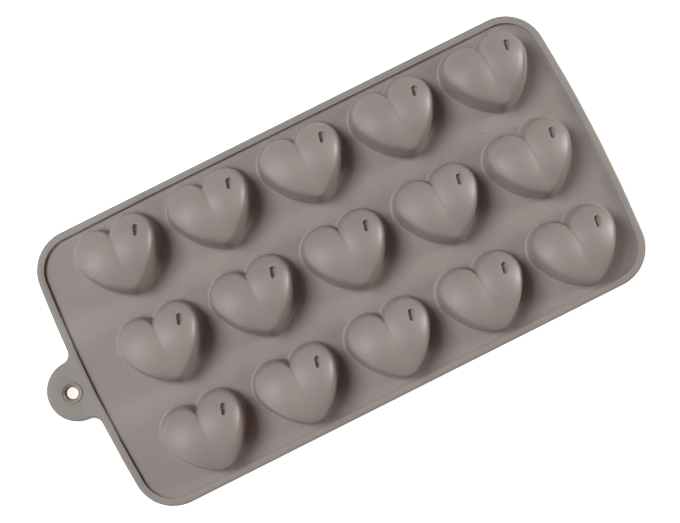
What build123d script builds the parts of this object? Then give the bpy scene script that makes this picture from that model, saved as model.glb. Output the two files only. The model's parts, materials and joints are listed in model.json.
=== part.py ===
"""Silicone chocolate mould with fifteen puffed hearts, lying face down on its rim with the cup backs up.

Millimetres. Z is up from the surface that the mould lies on. X runs along the mould, away from the hanging
tab, and Y runs across it, towards the clefts of the hearts. The origin is under the middle of the whole mould.
The silicone is one moulding, shown here as the stretches that a mould maker names: rim, web, hanging tab and
the rows of cups. They meet face to face along the lines where one form turns into the next.
"""

import os
from math import acos, atan2, cos, degrees, radians, sin, sqrt, tan

from build123d import *

os.makedirs("parts", exist_ok=True)

# Grid of hearts, in rows along X, and the bare margins from the outer hearts to the outside of the rim
columns = 5
rows = 3
column_gap = 4.4
row_gap = 7.3
tab_end_margin = 17.5
far_end_margin = 9.9
side_margin = 5.4

# Outline of the body
end_bow = 2.9  # how far the middle of a short side stands out past its corners
side_bow = 0.8  # the same on a long side
corner_radius = 15.6

# Rim, a bead that stiffens the edge and stands out on both faces of the web
rim_width = 2.8
rim_bevel = 0.7
front_lip = 2.2  # from the face that the mould lies on to the web's front
web_thickness = 1.8
back_lip = 1.3  # how far the rim stands above the web's back

# Hanging tab, moulded on one short side, level with the rim's back
tab_radius = 11.5
tab_centre_reach = 2.8  # from the middle of the side out to the middle of the tab's round end
tab_thickness = 2.6
tab_root_radius = 3.6
tab_seam = 0.8  # where the tab is told from the rim, outside the middle of the side
hole_reach = 5.1  # from the middle of the side out to the hole
hole_radius = 2.25
hole_mouth_radius = 3.4
mouth_angle = 90.0

# One cup, where it leaves the web
heart_width = 33.8
heart_length = 29.2
cleft_depth = 3.3
side_radius = 27.0
point_radius = 4.8
cup_height = 14.2
cup_wall = 1.8
draft_angle = 8.0
crown_radius = 20.0
crown_spread = 5.5  # from the heart's middle line to the top of each lobe
crown_setback = 0.5  # from the middle of the heart's length, towards its point

# Shine, the drop-shaped dent on the right lobe that leaves a glint in the chocolate
shine_x = 9.8
shine_y = 6.4
shine_lean = 26.0
shine_length = 4.7
shine_radius = 1.3
shine_end_radius = 0.4
shine_depth = 1.5
shine_wall = 1.3

clearance_cut = 1.0  # how far a cutting form runs past what it cuts

web_front = front_lip
web_back = web_front + web_thickness
rim_height = web_back + back_lip
column_pitch = heart_width + column_gap
row_pitch = heart_length + row_gap
body_length = tab_end_margin + (columns - 1) * column_pitch + heart_width + far_end_margin
body_width = (rows - 1) * row_pitch + heart_length + 2 * side_margin
grid_shift = (tab_end_margin - far_end_margin) / 2
body_x = (tab_centre_reach + tab_radius) / 2  # keeps the origin under the middle of the mould
hole_x = body_x - body_length / 2 - hole_reach

# The right lobe in plan: a round lobe and a round point that both lie against the inside of the side arc,
# with a straight run between them on the heart's inner side
lobe_radius = heart_width / 2 + cleft_depth - sqrt(heart_width * cleft_depth)
lobe = Vector(heart_width / 2 - lobe_radius, heart_length / 2 - lobe_radius)
point = Vector(0, point_radius - heart_length / 2)
to_point = point - lobe
lobe_gap = side_radius - lobe_radius
point_gap = side_radius - point_radius
along = (lobe_gap**2 - point_gap**2 + to_point.length**2) / (2 * to_point.length)
across = sqrt(lobe_gap**2 - along**2)
run = to_point.normalized()
side = lobe + run * along + Vector(run.Y, -run.X) * across
side_start = degrees(atan2(lobe.Y - side.Y, lobe.X - side.X))
side_end = degrees(atan2(point.Y - side.Y, point.X - side.X))
inner_turn = acos((point_radius - lobe_radius) / to_point.length)
inner_angle = degrees(atan2(-run.Y, -run.X) + inner_turn)

crown_z = web_back + cup_height - crown_radius
crown_y = -crown_setback


def level(height):
    """The plane at a height, centred on the body."""
    return Plane((body_x, 0, height))


def lobe_section(height, wall):
    """The right lobe in plan at a height, inside a wall. The draft draws it in above the web's back."""
    inset = wall + (height - web_back) * tan(radians(draft_angle))
    with BuildSketch(Plane.XY.offset(height)) as section:
        with BuildLine() as edge:
            CenterArc(lobe, lobe_radius - inset, inner_angle, side_start - inner_angle)
            CenterArc(side, side_radius - inset, side_start, side_end - side_start)
            CenterArc(point, point_radius - inset, side_end, inner_angle - 360 - side_end)
            Line(edge.line @ 1, edge.line @ 0)
        make_face()
    return section.sketch


def puffed_heart(bottom, wall):
    """A heart of two drafted lobes with puffed tops that meet in a crease, inside a wall."""
    with BuildPart() as heart:
        add(lobe_section(bottom, wall))
        add(lobe_section(web_back + cup_height + clearance_cut, wall))
        loft(ruled=True)
        with Locations((crown_spread, crown_y, crown_z)):
            Sphere(crown_radius - wall, rotation=(90, 0, 0), mode=Mode.INTERSECT)
        split(bisect_by=Plane.YZ, keep=Keep.TOP)
        mirror(about=Plane.YZ)
    return heart.part


def shine(plane, grow, height):
    """The drop shape on a plane, its round end along the plane's X."""
    with BuildPart() as drop:
        with BuildSketch(plane):
            with Locations((shine_length / 2 - shine_radius, 0)):
                Circle(shine_radius + grow)
            with Locations((shine_end_radius - shine_length / 2, 0)):
                Circle(shine_end_radius + grow)
            make_hull()
        extrude(amount=height)
    return drop.part


# The shine is square to the crown where it lies
shine_rise = sqrt(crown_radius**2 - (shine_x - crown_spread) ** 2 - (shine_y - crown_y) ** 2)
shine_normal = Vector(shine_x - crown_spread, shine_y - crown_y, shine_rise)
shine_plane = Plane(
    (shine_x, shine_y, crown_z + shine_rise),
    x_dir=(sin(radians(shine_lean)), cos(radians(shine_lean)), 0),
    z_dir=shine_normal,
)
dent = shine(shine_plane.offset(-shine_depth), 0, shine_depth + clearance_cut)
boss_depth = shine_depth + shine_wall
boss = shine(shine_plane.offset(-boss_depth), shine_wall, boss_depth + clearance_cut)

# The cavity that the chocolate fills, with the boss that dents it, down through the web to its mouth
with BuildPart() as cavity:
    add(puffed_heart(web_front - clearance_cut, cup_wall))
    add(boss, mode=Mode.SUBTRACT)

# One cup, the wall of silicone that stands on the web round that cavity
with BuildPart() as cup:
    add(puffed_heart(web_back, 0))
    add(cavity.part, mode=Mode.SUBTRACT)
    add(dent, mode=Mode.SUBTRACT)

for row in range(rows):
    row_y = (rows - 1 - 2 * row) / 2 * row_pitch
    with BuildPart() as cup_row:
        with Locations((body_x + grid_shift, row_y)):
            with GridLocations(column_pitch, row_pitch, columns, 1):
                add(cup.part)
    cup_row.part.label = f"heart_cups_row_{row + 1}"
    export_step(cup_row.part, f"parts/heart_cups_row_{row + 1}.step")

# The four sides of the body, each one shallow arc
with BuildSketch() as four_sides:
    corner_x = body_length / 2 - end_bow
    corner_y = body_width / 2 - side_bow
    with BuildLine():
        ThreePointArc((-corner_x, corner_y), (0, body_width / 2), (corner_x, corner_y))
        ThreePointArc((corner_x, corner_y), (body_length / 2, 0), (corner_x, -corner_y))
        ThreePointArc((corner_x, -corner_y), (0, -body_width / 2), (-corner_x, -corner_y))
        ThreePointArc((-corner_x, -corner_y), (-body_length / 2, 0), (-corner_x, corner_y))
    make_face()

with BuildSketch() as outline:
    add(four_sides.sketch)
    fillet(outline.vertices(), corner_radius)

with BuildSketch() as inner_outline:
    offset(four_sides.sketch, amount=-rim_width, kind=Kind.INTERSECTION)
    fillet(inner_outline.vertices(), corner_radius - rim_width)

# Web, the flat sheet between the cups, with the mouths of the cavities in its front
with BuildPart() as web_sheet:
    with BuildSketch(level(web_front)):
        add(inner_outline.sketch)
    extrude(amount=web_thickness)
    with Locations((body_x + grid_shift, 0)):
        with GridLocations(column_pitch, row_pitch, columns, rows):
            add(cavity.part, mode=Mode.SUBTRACT)
web_sheet.part.label = "web_sheet"
export_step(web_sheet.part, "parts/web_sheet.step")

# Rim and hanging tab as they are moulded, with eased outer edges that run from one into the other
with BuildPart() as edge_band:
    with BuildSketch(level(0)):
        add(outline.sketch)
    extrude(amount=rim_height)
    with BuildSketch(level(rim_height - tab_thickness)) as tab_outline:
        add(outline.sketch)
        with Locations((-body_length / 2 - tab_centre_reach, 0)):
            Circle(tab_radius)
        roots = tab_outline.vertices().sort_by_distance((-body_length / 2, 0))[:2]
        fillet(roots, tab_root_radius)
    extrude(amount=tab_thickness)
    back_edges = edge_band.faces().sort_by(Axis.Z)[-1].edges()
    front_edges = edge_band.faces().sort_by(Axis.Z)[0].edges()
    chamfer(back_edges + front_edges, rim_bevel)
    with BuildSketch(level(0)):
        add(inner_outline.sketch)
    extrude(amount=rim_height, mode=Mode.SUBTRACT)

seam = Plane(
    (body_x - body_length / 2 - tab_seam, 0, 0), x_dir=(0, 1, 0), z_dir=(1, 0, 0)
)

with BuildPart() as rim:
    add(edge_band.part)
    split(bisect_by=seam, keep=Keep.TOP)
rim.part.label = "rim"
export_step(rim.part, "parts/rim.step")

# The tab's hole opens out towards the back
with BuildPart() as hang_tab:
    add(edge_band.part)
    split(bisect_by=seam, keep=Keep.BOTTOM)
    with Locations((hole_x, 0, rim_height)):
        CounterSinkHole(hole_radius, hole_mouth_radius, counter_sink_angle=mouth_angle)
hang_tab.part.label = "hang_tab"
export_step(hang_tab.part, "parts/hang_tab.step")
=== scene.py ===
"""The looks of a silicone chocolate mould with fifteen puffed hearts, lying face down, seen from above.

The sections follow the mould from its middle out: the web, one heart cup and its copies, the rim with the
hanging tab, the lip and funnel of the tab's hole, and the gate mark. Floor, lamps and camera come last.
"""

import json
from math import atan2, cos, radians, sin, sqrt, tan

import bpy
from mathutils import Matrix, Vector


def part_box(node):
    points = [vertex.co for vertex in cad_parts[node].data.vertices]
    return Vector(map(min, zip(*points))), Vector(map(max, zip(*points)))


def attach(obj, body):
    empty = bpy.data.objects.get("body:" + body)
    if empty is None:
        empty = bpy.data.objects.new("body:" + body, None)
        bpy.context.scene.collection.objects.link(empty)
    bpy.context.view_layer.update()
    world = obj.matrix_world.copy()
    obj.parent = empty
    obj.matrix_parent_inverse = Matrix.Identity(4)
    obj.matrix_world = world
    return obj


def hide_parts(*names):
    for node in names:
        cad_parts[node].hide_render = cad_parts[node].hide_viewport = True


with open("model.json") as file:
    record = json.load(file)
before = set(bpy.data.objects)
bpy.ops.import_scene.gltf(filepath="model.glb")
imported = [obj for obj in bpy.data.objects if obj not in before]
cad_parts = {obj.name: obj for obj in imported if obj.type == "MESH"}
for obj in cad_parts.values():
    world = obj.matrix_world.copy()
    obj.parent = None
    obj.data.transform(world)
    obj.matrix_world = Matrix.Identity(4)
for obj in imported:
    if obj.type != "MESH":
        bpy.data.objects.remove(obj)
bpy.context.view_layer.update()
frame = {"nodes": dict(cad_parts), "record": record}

# The web is the flat sheet of silicone between the hearts, 1.8 mm thick, with the mouths of the cavities in
# its front. It is taupe grey food-grade silicone, cast in a blasted steel mould that leaves a satin skin.
MM = 0.001
WEB_FRONT = 2.2 * MM
WEB_BACK = 4.0 * MM


def colour_input(group, name, value):
    """A colour socket on a node group, with its resting value."""
    socket = group.interface.new_socket(name, in_out="INPUT", socket_type="NodeSocketColor")
    socket.default_value = value


def number_input(group, name, value):
    """A number socket on a node group, with its resting value."""
    socket = group.interface.new_socket(name, in_out="INPUT", socket_type="NodeSocketFloat")
    socket.default_value = value


def noise(nodes, links, place, scale, detail):
    """A noise texture on the object's own coordinates, with so many cells to a metre."""
    texture = nodes.new("ShaderNodeTexNoise")
    texture.inputs["Scale"].default_value = scale
    texture.inputs["Detail"].default_value = detail
    texture.inputs["Roughness"].default_value = 0.55
    links.new(place.outputs["Object"], texture.inputs["Vector"])
    return texture


def build_moulded_skin():
    """The skin of cast silicone: faint clouds of colour, patches of gloss and a fine blasted grain."""
    group = bpy.data.node_groups.new("moulded_skin", "ShaderNodeTree")
    colour_input(group, "Colour", (0.3, 0.27, 0.25, 1.0))
    colour_input(group, "Cloud Colour", (0.33, 0.3, 0.28, 1.0))
    number_input(group, "Roughness", 0.42)
    number_input(group, "Roughness Change", 0.08)
    group.interface.new_socket("Colour", in_out="OUTPUT", socket_type="NodeSocketColor")
    group.interface.new_socket("Roughness", in_out="OUTPUT", socket_type="NodeSocketFloat")
    group.interface.new_socket("Height", in_out="OUTPUT", socket_type="NodeSocketFloat")
    nodes, links = group.nodes, group.links
    given = nodes.new("NodeGroupInput")
    result = nodes.new("NodeGroupOutput")
    place = nodes.new("ShaderNodeTexCoord")

    clouds = noise(nodes, links, place, scale=38.0, detail=3.0)
    cloud_range = nodes.new("ShaderNodeMapRange")
    cloud_range.inputs["From Min"].default_value = 0.35
    cloud_range.inputs["From Max"].default_value = 0.65
    links.new(clouds.outputs["Fac"], cloud_range.inputs["Value"])
    blend = nodes.new("ShaderNodeMix")
    blend.data_type = "RGBA"
    links.new(cloud_range.outputs["Result"], blend.inputs["Factor"])
    links.new(given.outputs["Colour"], blend.inputs["A"])
    links.new(given.outputs["Cloud Colour"], blend.inputs["B"])
    links.new(blend.outputs["Result"], result.inputs["Colour"])

    handling = noise(nodes, links, place, scale=120.0, detail=2.0)
    gloss = nodes.new("ShaderNodeMath")
    gloss.operation = "MULTIPLY_ADD"
    links.new(handling.outputs["Fac"], gloss.inputs[0])
    links.new(given.outputs["Roughness Change"], gloss.inputs[1])
    links.new(given.outputs["Roughness"], gloss.inputs[2])
    links.new(gloss.outputs["Value"], result.inputs["Roughness"])

    grain = noise(nodes, links, place, scale=2600.0, detail=2.0)
    links.new(grain.outputs["Fac"], result.inputs["Height"])
    return group


moulded_skin = build_moulded_skin()


def silicone_finish(name, colour, cloud_colour, roughness):
    """A silicone material whose colour, gloss and grain vary as the moulded skin does."""
    material = bpy.data.materials.new(name)
    material.use_nodes = True
    nodes, links = material.node_tree.nodes, material.node_tree.links
    surface = nodes["Principled BSDF"]
    surface.inputs["IOR"].default_value = 1.42
    surface.inputs["Subsurface Weight"].default_value = 0.12
    surface.inputs["Subsurface Radius"].default_value = (1.0, 0.55, 0.4)
    surface.inputs["Subsurface Scale"].default_value = 0.9 * MM
    skin = nodes.new("ShaderNodeGroup")
    skin.node_tree = moulded_skin
    skin.inputs["Colour"].default_value = colour
    skin.inputs["Cloud Colour"].default_value = cloud_colour
    skin.inputs["Roughness"].default_value = roughness
    bump = nodes.new("ShaderNodeBump")
    bump.inputs["Strength"].default_value = 0.12
    bump.inputs["Distance"].default_value = 0.05 * MM
    links.new(skin.outputs["Colour"], surface.inputs["Base Color"])
    links.new(skin.outputs["Roughness"], surface.inputs["Roughness"])
    links.new(skin.outputs["Height"], bump.inputs["Height"])
    links.new(bump.outputs["Normal"], surface.inputs["Normal"])
    return material


taupe_silicone = silicone_finish(
    "taupe_silicone",
    colour=(0.300, 0.262, 0.248, 1.0),
    cloud_colour=(0.325, 0.286, 0.270, 1.0),
    roughness=0.44,
)


def give_material(piece, material):
    """The piece wears this material all over."""
    piece.data.materials.clear()
    piece.data.materials.append(material)


web = frame["nodes"]["web_sheet"]
give_material(web, taupe_silicone)

# One heart cup is a wall of silicone, 1.8 mm thick, puffed like a cushion: two drafted lobes with rounded
# shoulders that meet in a crease, and a drop-shaped dent on the right one. It is cast in one with the web and
# flows into it in a small fillet. The other fourteen are copies.
HEART_WIDTH = 33.8 * MM
HEART_LENGTH = 29.2 * MM
CLEFT_DEPTH = 3.3 * MM
SIDE_RADIUS = 27.0 * MM
POINT_RADIUS = 4.8 * MM
CUP_HEIGHT = 14.2 * MM
CUP_WALL = 1.8 * MM
DRAFT = tan(radians(8.0))
CROWN_RADIUS = 20.0 * MM
CROWN_SPREAD = 5.5 * MM
CROWN_SETBACK = 0.5 * MM
MIDDLE_SETBACK = 2.5 * MM  # the swell between the lobes, which fills the crease towards the point
MIDDLE_DROP = 1.1 * MM
ROOT = 4.0 * MM  # how far the forms run on below the web before they are trimmed
RUN_PAST = 2.0 * MM  # how far they run on above the crown

DENT_PLACE = (9.8 * MM, 6.4 * MM)
DENT_LEAN = radians(26.0)
DENT_DEPTH = 1.9 * MM
WIDE_REACH = 1.15 * MM  # from the dent's middle to its wide end, towards the cleft
WIDE_RADIUS = 1.2 * MM
NARROW_REACH = -1.85 * MM
NARROW_RADIUS = 0.6 * MM
BOSS_WALL = 1.3 * MM  # silicone between the dent and the boss in the cavity

SHOULDER_VOXEL = 0.4 * MM
SHOULDER_PASSES = 75
FOOT_VOXEL = 0.32 * MM
FOOT_PASSES = 16
CREASE_PASSES = 8
LIP_VOXEL = 0.28 * MM
LIP_PASSES = 2
SLAB_LENGTH = 46.0 * MM
SLAB_WIDTH = 42.0 * MM
TRIM_GAP = 0.02 * MM
TRIM_SINK = 0.05 * MM
FINE = 0.001 * MM
KEPT_FACES = 0.3

crown_z = WEB_BACK + CUP_HEIGHT - CROWN_RADIUS
lobe_radius = HEART_WIDTH / 2 + CLEFT_DEPTH - sqrt(HEART_WIDTH * CLEFT_DEPTH)
lobe = Vector((HEART_WIDTH / 2 - lobe_radius, HEART_LENGTH / 2 - lobe_radius))
point = Vector((0.0, POINT_RADIUS - HEART_LENGTH / 2))
to_point = point - lobe
lobe_gap = SIDE_RADIUS - lobe_radius
point_gap = SIDE_RADIUS - POINT_RADIUS
along = (lobe_gap**2 - point_gap**2 + to_point.length**2) / (2 * to_point.length)
across = sqrt(lobe_gap**2 - along**2)
run = to_point.normalized()
side = lobe + run * along + Vector((run.y, -run.x)) * across


def clear_selection():
    """Nothing is selected, so that the next operator acts on its own piece alone."""
    bpy.ops.object.select_all(action="DESELECT")


def use(piece):
    """The piece is the one that operators act on."""
    clear_selection()
    piece.select_set(True)
    bpy.context.view_layer.objects.active = piece


def apply_modifier(piece, kind, **settings):
    """Adds a modifier with these settings and applies it to the mesh."""
    use(piece)
    modifier = piece.modifiers.new(kind.lower(), kind)
    for name, value in settings.items():
        setattr(modifier, name, value)
    bpy.ops.object.modifier_apply(modifier=modifier.name)


def cut(piece, tool, operation):
    """Takes the tool away from the piece, or keeps what they share, and deletes the tool."""
    apply_modifier(piece, "BOOLEAN", operation=operation, object=tool, solver="EXACT")
    bpy.data.objects.remove(tool)


def round_over(piece, voxel, passes):
    """Even quads all over the piece, and then its edges rounded by smoothing."""
    apply_modifier(piece, "REMESH", mode="VOXEL", voxel_size=voxel, use_smooth_shade=True)
    apply_modifier(piece, "SMOOTH", factor=0.5, iterations=passes)


def drafted_round(centre, radius, wall, bottom, top):
    """A cone frustum of that plan radius at the web's back, drawn in by the wall and the draft."""
    bpy.ops.mesh.primitive_cone_add(
        vertices=160,
        radius1=radius - wall - (bottom - WEB_BACK) * DRAFT,
        radius2=radius - wall - (top - WEB_BACK) * DRAFT,
        depth=top - bottom,
        location=(centre.x, centre.y, (bottom + top) / 2),
    )


def crown_ball(centre, wall):
    """A ball whose top is a crown of the heart, inside a wall."""
    clear_selection()
    bpy.ops.mesh.primitive_uv_sphere_add(
        segments=160, ring_count=80, radius=CROWN_RADIUS - wall, location=centre
    )
    ball = bpy.context.object
    bpy.ops.object.transform_apply(location=True, rotation=True, scale=True)
    return ball


def puffed_heart(name, wall, bottom):
    """A heart of two drafted lobes with puffed tops and soft shoulders, inside a wall."""
    top = WEB_BACK + CUP_HEIGHT + RUN_PAST
    clear_selection()
    drafted_round(side, SIDE_RADIUS, wall, bottom, top)
    heart = bpy.context.object
    heart.name = name
    bpy.ops.object.mode_set(mode="EDIT")
    bpy.ops.mesh.select_all(action="DESELECT")
    bpy.ops.object.mode_set(mode="OBJECT")

    # Of the large round that makes the long side, only the arc from the lobe to the point is kept
    start = atan2(lobe.y - side.y, lobe.x - side.x)
    end = atan2(point.y - side.y, point.x - side.x)
    for vertex in heart.data.vertices:
        place = heart.matrix_world @ vertex.co
        turn = atan2(place.y - side.y, place.x - side.x)
        vertex.select = not min(start, end) <= turn <= max(start, end)
    bpy.ops.object.mode_set(mode="EDIT")
    bpy.ops.mesh.delete(type="VERT")
    drafted_round(lobe, lobe_radius, wall, bottom, top)
    drafted_round(point, POINT_RADIUS, wall, bottom, top)
    bpy.ops.mesh.select_all(action="SELECT")
    bpy.ops.mesh.convex_hull()
    bpy.ops.object.mode_set(mode="OBJECT")
    bpy.ops.object.transform_apply(location=True, rotation=True, scale=True)

    # The crowns cut its top, its shoulders are smoothed, and its mirror image makes the left lobe
    crown = crown_ball((CROWN_SPREAD, -CROWN_SETBACK, crown_z), wall)
    middle = crown_ball((0.0, -MIDDLE_SETBACK, crown_z - MIDDLE_DROP), wall)
    cut(crown, middle, "UNION")
    cut(heart, crown, "INTERSECT")
    round_over(heart, SHOULDER_VOXEL, SHOULDER_PASSES)
    apply_modifier(heart, "MIRROR", use_mirror_merge=False)
    return heart


def add_peg(place, radius, depth, turn):
    """A round peg of that depth, longer by what it runs on above the crown."""
    bpy.ops.mesh.primitive_cylinder_add(
        vertices=48,
        radius=radius,
        depth=depth + RUN_PAST,
        location=place,
        rotation=turn,
    )


def drop_form(name, grow, depth):
    """The drop that dents the right lobe: the hull of a wide and a narrow peg, square to the crown."""
    shine_x, shine_y = DENT_PLACE
    rise = sqrt(CROWN_RADIUS**2 - (shine_x - CROWN_SPREAD) ** 2 - (shine_y + CROWN_SETBACK) ** 2)
    square = Vector((shine_x - CROWN_SPREAD, shine_y + CROWN_SETBACK, rise)).normalized()
    middle = Vector((shine_x, shine_y, crown_z + rise)) + square * (RUN_PAST - depth) / 2
    run = Vector((sin(DENT_LEAN), cos(DENT_LEAN), 0.0))
    run = (run - square * run.dot(square)).normalized()
    turn = square.to_track_quat("Z", "Y").to_euler()
    clear_selection()
    add_peg(middle + run * WIDE_REACH, WIDE_RADIUS + grow, depth, turn)
    drop = bpy.context.object
    drop.name = name
    bpy.ops.object.transform_apply(location=True, rotation=True, scale=True)
    bpy.ops.object.mode_set(mode="EDIT")
    add_peg(middle + run * NARROW_REACH, NARROW_RADIUS + grow, depth, turn)
    bpy.ops.mesh.select_all(action="SELECT")
    bpy.ops.mesh.convex_hull()
    bpy.ops.object.mode_set(mode="OBJECT")
    return drop


# A slab in the place of the web is smoothed together with the cup, which leaves a fillet at its foot
first_cup = puffed_heart("first_cup", 0.0, WEB_BACK - ROOT)
use(first_cup)
bpy.ops.object.mode_set(mode="EDIT")
bpy.ops.mesh.primitive_cube_add(
    size=1.0, location=(0.0, 0.0, WEB_BACK - ROOT / 2), scale=(SLAB_LENGTH, SLAB_WIDTH, ROOT)
)
bpy.ops.object.mode_set(mode="OBJECT")
round_over(first_cup, FOOT_VOXEL, FOOT_PASSES)
cut(first_cup, drop_form("dent", 0.0, DENT_DEPTH), "DIFFERENCE")

# The cavity takes out the inside, all but the boss that dents the chocolate
cavity = puffed_heart("cavity", CUP_WALL, WEB_FRONT - ROOT)
round_over(cavity, FOOT_VOXEL, CREASE_PASSES)
cut(cavity, drop_form("boss", BOSS_WALL, DENT_DEPTH + BOSS_WALL), "DIFFERENCE")
cut(first_cup, cavity, "DIFFERENCE")
round_over(first_cup, LIP_VOXEL, LIP_PASSES)

# The foot is trimmed just above the web, which takes the slab off, and its edge is sunk into the web
use(first_cup)
bpy.ops.object.mode_set(mode="EDIT")
bpy.ops.mesh.select_all(action="SELECT")
bpy.ops.mesh.bisect(
    plane_co=(0, 0, WEB_BACK + TRIM_GAP), plane_no=(0, 0, 1), clear_inner=True, threshold=FINE
)
bpy.ops.mesh.select_all(action="DESELECT")
bpy.ops.mesh.select_non_manifold()
bpy.ops.transform.translate(value=(0, 0, -TRIM_SINK))
bpy.ops.mesh.bridge_edge_loops()
bpy.ops.mesh.select_all(action="SELECT")
bpy.ops.mesh.quads_convert_to_tris()
bpy.ops.mesh.normals_make_consistent(inside=False)
bpy.ops.object.mode_set(mode="OBJECT")
apply_modifier(first_cup, "DECIMATE", ratio=KEPT_FACES)
bpy.ops.object.shade_smooth()
give_material(first_cup, taupe_silicone)

COLUMNS = 5
ROWS = 3
row_boxes = [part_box(f"heart_cups_row_{row + 1}") for row in range(ROWS)]
for row, (low, high) in enumerate(row_boxes):
    first_x = low[0] + HEART_WIDTH / 2
    pitch = (high[0] - low[0] - HEART_WIDTH) / (COLUMNS - 1)
    for column in range(COLUMNS):
        use(first_cup)
        bpy.ops.object.duplicate()
        cup = bpy.context.object
        cup.name = f"heart_cup_row_{row + 1}_{column + 1}"
        cup.data.name = cup.name
        cup.data.transform(Matrix.Translation((first_x + column * pitch, (low[1] + high[1]) / 2, 0)))
        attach(cup, "root")
        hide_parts(f"heart_cups_row_{row + 1}")
bpy.data.objects.remove(first_cup)

# The rim is a bead of silicone, 2.8 mm wide, that stiffens the edge of the web, and the hanging tab is the
# flat tongue on one short side, level with the rim's back. Both have softly rounded edges from the mould.
RIM_BACK = 5.3 * MM
MERGE_GAP = 0.002 * MM
SEAM_GAP = 0.01 * MM
EDGE_ROUND = 0.24 * MM
edge_silicone = silicone_finish(
    "edge_silicone",
    colour=(0.283, 0.266, 0.247, 1.0),
    cloud_colour=(0.306, 0.288, 0.268, 1.0),
    roughness=0.46,
)
use(frame["nodes"]["rim"])
bpy.ops.object.duplicate()
rim = bpy.context.object
use(frame["nodes"]["hang_tab"])
bpy.ops.object.duplicate()
tab = bpy.context.object
clear_selection()
tab.select_set(True)
rim.select_set(True)
bpy.context.view_layer.objects.active = rim
bpy.ops.object.join()
rim.name = "rim_and_tab"
rim.data.name = rim.name
seam_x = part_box("hang_tab")[1][0]
bpy.ops.object.mode_set(mode="EDIT")
bpy.ops.mesh.select_all(action="SELECT")
bpy.ops.mesh.remove_doubles(threshold=MERGE_GAP)
bpy.ops.mesh.select_all(action="DESELECT")
bpy.ops.object.mode_set(mode="OBJECT")

# The faces where the rim and the tab meet are inside the silicone, so they go
for face in rim.data.polygons:
    face.select = all(abs(rim.data.vertices[v].co.x - seam_x) < SEAM_GAP for v in face.vertices)
bpy.ops.object.mode_set(mode="EDIT")
bpy.ops.mesh.delete(type="ONLY_FACE")
bpy.ops.mesh.select_all(action="SELECT")
bpy.ops.mesh.dissolve_limited(angle_limit=radians(1.0))
bpy.ops.object.mode_set(mode="OBJECT")
apply_modifier(rim, "BEVEL", width=EDGE_ROUND, segments=4, limit_method="ANGLE", angle_limit=radians(30))
use(rim)
bpy.ops.object.shade_smooth_by_angle(angle=radians(40))
give_material(rim, edge_silicone)
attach(rim, "root")
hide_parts("rim", "hang_tab")

# The hole in the tab has a raised lip, a fine bead of silicone that keeps a hook from tearing it, and opens
# out from its throat in a rounded funnel. It is cast in one with the tab, where the silicone is thinnest.
# The funnel is the same taupe silicone; its warm brown is painted shade and painted reflection of the warm
# light that bounces about inside the hole.
THROAT_RADIUS = 2.25 * MM
MOUTH_RADIUS = 3.4 * MM
LIP_RADIUS = 3.8 * MM
LIP_WIDTH = 0.8 * MM
LIP_FLATNESS = 0.9
TAB_THICKNESS = 2.6 * MM
FUNNEL_DEPTH = 1.7 * MM
FUNNEL_SKIN = 0.5 * MM
PROUD = 0.02 * MM  # how far the funnel stands in front of the tab's own wall
ROUND_SHARE = 0.75  # the rows of the funnel that make its rounding; the rest go straight down the throat
THROAT_END = 2.55 * MM  # just inside the tab's front face
hole = next(mount for mount in frame["record"]["mounts"] if mount["name"] == "hang_hole")
hole_x, hole_y = hole["pos_m"][:2]
# Painted shade: this warm brown stands for the shade and warm reflected light inside the hole, not a colour
# of the silicone
funnel_painted_shade = silicone_finish(
    "funnel_painted_shade",
    colour=(0.34, 0.265, 0.205, 1.0),
    cloud_colour=(0.38, 0.30, 0.235, 1.0),
    roughness=0.36,
)

clear_selection()
bpy.ops.mesh.primitive_torus_add(
    major_segments=96,
    minor_segments=20,
    major_radius=LIP_RADIUS,
    minor_radius=LIP_WIDTH / 2,
    location=(hole_x, hole_y, RIM_BACK),
)
lip = bpy.context.object
lip.name = "hole_lip"
lip.data.name = lip.name
bpy.ops.object.transform_apply(location=True, rotation=True, scale=True)
bpy.ops.object.mode_set(mode="EDIT")
bpy.ops.transform.resize(value=(1, 1, LIP_FLATNESS), center_override=(hole_x, hole_y, RIM_BACK))
bpy.ops.object.mode_set(mode="OBJECT")
bpy.ops.object.shade_smooth()
give_material(lip, edge_silicone)

clear_selection()
bpy.ops.mesh.primitive_cylinder_add(
    vertices=32,
    radius=MOUTH_RADIUS,
    depth=TAB_THICKNESS,
    end_fill_type="NOTHING",
    location=(hole_x, hole_y, RIM_BACK - TAB_THICKNESS / 2),
)
funnel = bpy.context.object
funnel.name = "hole_funnel"
funnel.data.name = funnel.name
bpy.ops.object.transform_apply(location=True, rotation=True, scale=True)
bpy.ops.object.mode_set(mode="EDIT")
bpy.ops.mesh.select_all(action="SELECT")
bpy.ops.mesh.subdivide(number_cuts=11)
bpy.ops.object.mode_set(mode="OBJECT")
for vertex in funnel.data.vertices:
    down = (RIM_BACK - vertex.co.z) / TAB_THICKNESS
    turn = radians(90) * min(1.0, down / ROUND_SHARE)
    straight = max(0.0, down - ROUND_SHARE) / (1 - ROUND_SHARE)
    reach = THROAT_RADIUS - PROUD + (MOUTH_RADIUS - THROAT_RADIUS + 2 * PROUD) * (1 - sin(turn))
    away = Vector((vertex.co.x - hole_x, vertex.co.y - hole_y)).normalized() * reach
    fall = FUNNEL_DEPTH * (1 - cos(turn)) + (THROAT_END - FUNNEL_DEPTH) * straight
    vertex.co = (hole_x + away.x, hole_y + away.y, RIM_BACK - fall)
apply_modifier(funnel, "SOLIDIFY", thickness=FUNNEL_SKIN, offset=1.0)
use(funnel)
bpy.ops.object.mode_set(mode="EDIT")
bpy.ops.mesh.select_all(action="SELECT")
bpy.ops.mesh.normals_make_consistent(inside=False)
bpy.ops.object.mode_set(mode="OBJECT")
bpy.ops.object.shade_smooth_by_angle(angle=radians(50))
give_material(funnel, funnel_painted_shade)
for piece in (lip, funnel):
    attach(piece, "root")

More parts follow.
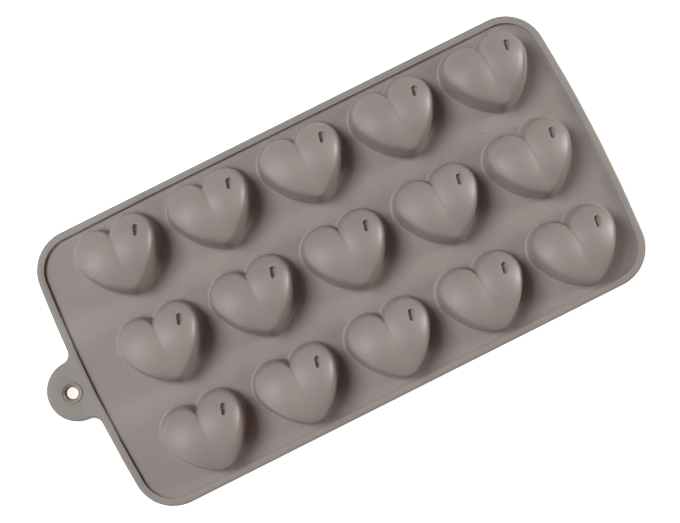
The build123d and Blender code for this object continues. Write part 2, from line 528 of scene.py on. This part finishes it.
# The gate mark is a small round nub of silicone on the web, left where the steel mould was filled. It is a
# low dome, sunk a little into the web.
GATE_RADIUS = 0.75 * MM
GATE_FLATNESS = 0.45
GATE_SINK = 0.1 * MM
gate_place = (76.2 * MM, 19.4 * MM, WEB_BACK)
clear_selection()
bpy.ops.mesh.primitive_uv_sphere_add(segments=32, ring_count=16, radius=GATE_RADIUS, location=gate_place)
nub = bpy.context.object
nub.name = "gate_nub"
nub.data.name = nub.name
bpy.ops.object.transform_apply(location=True, rotation=True, scale=True)
bpy.ops.object.mode_set(mode="EDIT")
bpy.ops.mesh.select_all(action="SELECT")
bpy.ops.transform.resize(value=(1, 1, GATE_FLATNESS), center_override=gate_place)
bpy.ops.mesh.bisect(
    plane_co=(0, 0, WEB_BACK - GATE_SINK),
    plane_no=(0, 0, 1),
    clear_inner=True,
    use_fill=True,
    threshold=FINE,
)
bpy.ops.object.mode_set(mode="OBJECT")
bpy.ops.object.shade_smooth()
give_material(nub, taupe_silicone)
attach(nub, "root")

# Floor, sky, lamps and camera. The mould lies on white paper under a faint warm sky. A large soft lamp on the
# left of the picture casts the shadows, a weak one at the lower left lifts the walls on that side, and a low
# one on the right lights the flanks. A small one near it shows in reflections alone, as each heart's glint.
clear_selection()
bpy.ops.mesh.primitive_plane_add(size=6.0, location=(0, 0, 0))
floor = bpy.context.object
floor.name = "floor"
paper = bpy.data.materials.new("white_paper")
paper.use_nodes = True
paper_nodes, paper_links = paper.node_tree.nodes, paper.node_tree.links
paper_surface = paper_nodes["Principled BSDF"]
paper_surface.inputs["Base Color"].default_value = (0.85, 0.85, 0.85, 1)
paper_surface.inputs["Roughness"].default_value = 0.9
paper_surface.inputs["Specular IOR Level"].default_value = 0.0
paper_surface.inputs["Emission Color"].default_value = (1, 1, 1, 1)
seen = paper_nodes.new("ShaderNodeLightPath")
glow = paper_nodes.new("ShaderNodeMath")
glow.operation = "MULTIPLY"
glow.inputs[1].default_value = 0.85
paper_links.new(seen.outputs["Is Camera Ray"], glow.inputs[0])
paper_links.new(glow.outputs["Value"], paper_surface.inputs["Emission Strength"])
floor.data.materials.append(paper)

scene = bpy.context.scene
world = bpy.data.worlds.new("studio")
scene.world = world
world.use_nodes = True
world_nodes, world_links = world.node_tree.nodes, world.node_tree.links
sky = world_nodes["Background"]
sky.inputs["Color"].default_value = (1.0, 0.56, 0.52, 1)
sky.inputs["Strength"].default_value = 0.13
white = world_nodes.new("ShaderNodeBackground")
white.inputs["Color"].default_value = (1, 1, 1, 1)
white.inputs["Strength"].default_value = 1.0
ray = world_nodes.new("ShaderNodeLightPath")
shown = world_nodes.new("ShaderNodeMixShader")
world_links.new(ray.outputs["Is Camera Ray"], shown.inputs["Fac"])
world_links.new(sky.outputs["Background"], shown.inputs[1])
world_links.new(white.outputs["Background"], shown.inputs[2])
world_links.new(shown.outputs["Shader"], world_nodes["World Output"].inputs["Surface"])


def add_lamp(name, azimuth, height, distance, width, length, power, colour):
    """A soft box that looks at the middle of the mould from an azimuth and a height above the floor."""
    turn, rise = radians(azimuth), radians(height)
    place = Vector((cos(rise) * cos(turn), cos(rise) * sin(turn), sin(rise))) * distance
    lamp = bpy.data.lights.new(name, "AREA")
    lamp.shape = "RECTANGLE"
    lamp.size = width
    lamp.size_y = length
    lamp.energy = power
    lamp.color = colour
    holder = bpy.data.objects.new(name, lamp)
    scene.collection.objects.link(holder)
    holder.location = place
    holder.rotation_euler = (-place).to_track_quat("-Z", "Y").to_euler()
    return holder


add_lamp("key_lamp", 142.0, 54.0, 3.4, 1.5, 1.5, 92.0, (0.97, 1.0, 1.0))
add_lamp("fill_lamp", 212.0, 27.0, 2.0, 1.3, 1.0, 7.5, (0.98, 1.0, 1.0))
add_lamp("flank_lamp", 355.0, 14.0, 2.0, 0.6, 0.7, 22.0, (1.0, 0.97, 0.94))
glint_lamp = add_lamp("glint_lamp", 4.0, 32.0, 2.0, 0.4, 0.6, 55.0, (1.0, 0.98, 0.97))
glint_lamp.visible_diffuse = False

camera_data = bpy.data.cameras.new("camera")
camera_data.lens = 68.82
camera_data.sensor_width = 36.0
camera = bpy.data.objects.new("camera", camera_data)
scene.collection.objects.link(camera)
camera.location = (-2.9 * MM, -26.5 * MM, 490.5 * MM)
camera.rotation_euler = (radians(3.2), radians(0.38), radians(-26.6))
scene.camera = camera
scene.view_settings.view_transform = "Standard"
